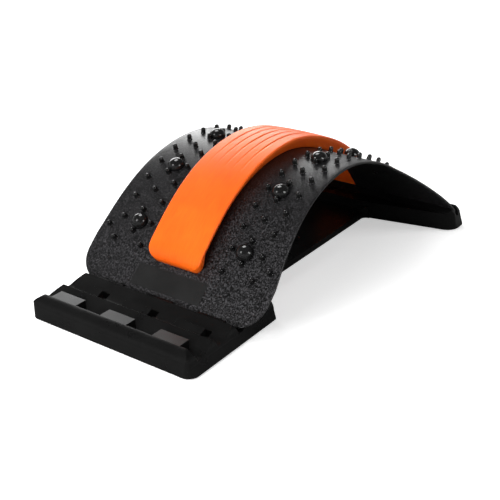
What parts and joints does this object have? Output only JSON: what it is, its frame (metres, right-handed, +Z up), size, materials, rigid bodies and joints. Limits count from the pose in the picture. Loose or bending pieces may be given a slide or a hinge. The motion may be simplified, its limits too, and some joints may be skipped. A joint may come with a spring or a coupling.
{
  "type": "back stretcher",
  "caption": "Arched massage plate with round points and a channelled foam pad along its spine, on a stepped base that holds its front edge in one of several grooves.",
  "frame": {"origin": "under the middle of the footprint, on the floor", "axes": "+X across the width, +Y from the grooved front rack to the rear rack, +Z up"},
  "size_m": [0.2632, 0.3856, 0.115],
  "materials": {
    "base_plastic": "satin black moulded plastic",
    "plate_plastic": "black moulded plastic with a fine leather grain",
    "dome_plastic": "polished black",
    "pad_foam": "orange closed-cell foam with a fine brushed skin",
    "magnet_ferrite": "dull grey pressed ferrite",
    "foot_rubber": "dark grey rubber"
  },
  "bodies": {
    "base": {"base_front": "base_plastic", "base_rear": "base_plastic", "anti_slip_foot_1": "foot_rubber", "anti_slip_foot_2": "foot_rubber", "anti_slip_foot_3": "foot_rubber", "anti_slip_foot_4": "foot_rubber", "anti_slip_foot_5": "foot_rubber", "anti_slip_foot_6": "foot_rubber", "bridge_rivet_left": "base_plastic", "bridge_rivet_right": "base_plastic"},
    "arch": {"arch_plate": "plate_plastic", "foam_pad": "pad_foam", "dome_left_1": "dome_plastic", "dome_left_2": "dome_plastic", "dome_left_3": "dome_plastic", "dome_left_4": "dome_plastic", "dome_left_5": "dome_plastic", "dome_right_1": "dome_plastic", "dome_right_2": "dome_plastic", "dome_right_3": "dome_plastic", "dome_right_4": "dome_plastic", "dome_right_5": "dome_plastic", "magnet_left_1": "magnet_ferrite", "magnet_left_2": "magnet_ferrite", "magnet_left_3": "magnet_ferrite", "magnet_left_4": "magnet_ferrite", "magnet_left_5": "magnet_ferrite", "magnet_right_1": "magnet_ferrite", "magnet_right_2": "magnet_ferrite", "magnet_right_3": "magnet_ferrite", "magnet_right_4": "magnet_ferrite", "magnet_right_5": "magnet_ferrite"}
  },
  "joints": [
    {"name": "arch_lift", "type": "hinge", "parent": "base", "child": "arch", "pos_m": [0, 0.17959, 0.01718], "axis": [-1, 0, 0], "range_deg": [0, 45]}
  ]
}
